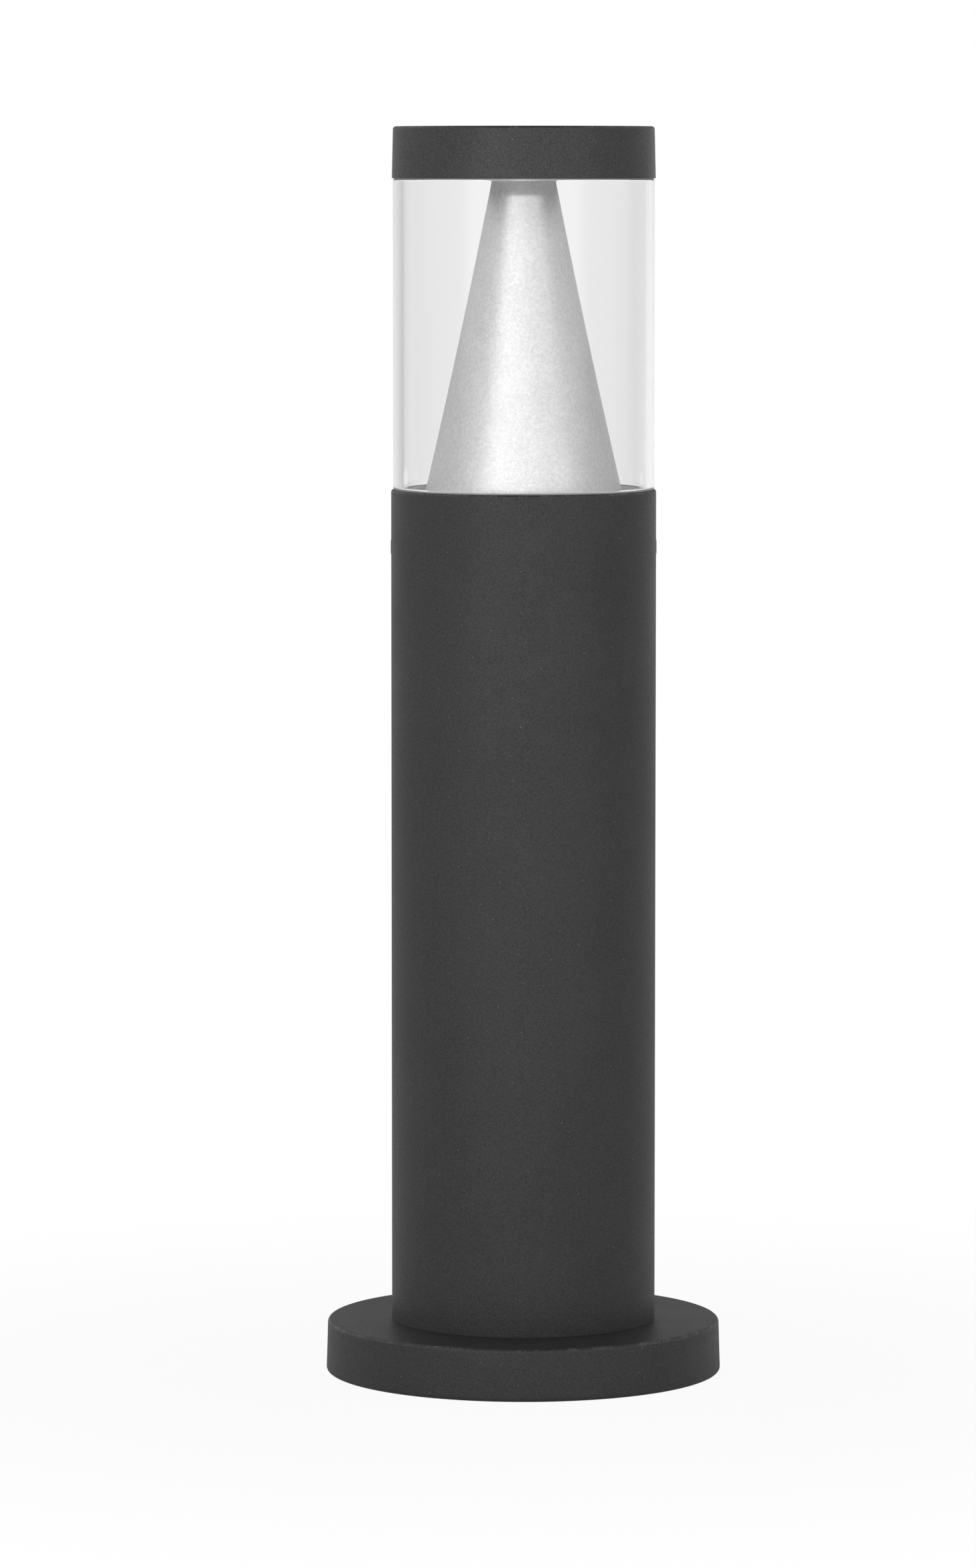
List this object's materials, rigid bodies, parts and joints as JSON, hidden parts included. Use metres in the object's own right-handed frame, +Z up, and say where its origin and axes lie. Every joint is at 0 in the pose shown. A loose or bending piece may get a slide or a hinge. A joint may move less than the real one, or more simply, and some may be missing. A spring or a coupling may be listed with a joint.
{
  "type": "garden post light",
  "caption": "Round garden post light: clear lantern tube with a silver cone reflector and a flat cap, on an anthracite post with a round cast foot.",
  "frame": {"origin": "centre of the foot's underside, on the ground", "axes": "+Z up along the post's axis, -Y towards the viewer of the picture, +X to that viewer's right, through one of the carrier's side screws"},
  "size_m": [0.159, 0.1588, 0.5],
  "materials": {
    "powder_coat": "fine-textured anthracite powder coat",
    "clear_acrylic": "clear polished acrylic",
    "clear_lens": "clear moulded polycarbonate",
    "reflector_aluminium": "satin, fine metallic grain",
    "seal_silicone": "light grey silicone",
    "black_rubber": "matte",
    "stainless": "satin",
    "brass": "satin",
    "zinc_plated_sheet": "zinc plated",
    "tinned_copper": "tinned",
    "board_white": "white solder mask on aluminium",
    "chip_yellow": "phosphor coated",
    "driver_case": "moulded white case",
    "terminal_nylon": "natural nylon",
    "insulation_red": "silicone insulation",
    "insulation_black": "silicone insulation",
    "insulation_brown": "insulation",
    "insulation_blue": "insulation",
    "insulation_earth": "green and yellow insulation"
  },
  "bodies": {
    "root": {"base_casting": "powder_coat", "cable_grommet": "black_rubber", "post_tube": "powder_coat", "foot_screws": "stainless", "lantern_carrier": "powder_coat", "carrier_screws": "stainless", "lower_seal": "seal_silicone", "clear_tube": "clear_acrylic", "upper_seal": "seal_silicone", "cap": "powder_coat", "reflector_cone": "reflector_aluminium", "cone_nut": "stainless", "tie_pipe": "brass", "tie_washer": "stainless", "tie_nut": "stainless", "led_board": "board_white", "led_chips": "chip_yellow", "led_lens_ring": "clear_lens", "lens_screws": "stainless", "gear_tray": "zinc_plated_sheet", "tray_screws": "stainless", "led_driver": "driver_case", "driver_screws": "stainless", "terminal_block": "terminal_nylon", "clamp_screws": "brass", "terminal_screw": "stainless", "led_lead_plus": "insulation_red", "led_lead_minus": "insulation_black", "mains_lead_live": "insulation_brown", "mains_lead_neutral": "insulation_blue", "earth_lead": "insulation_earth", "earth_lug": "tinned_copper", "earth_screw": "stainless"}
  },
  "joints": []
}
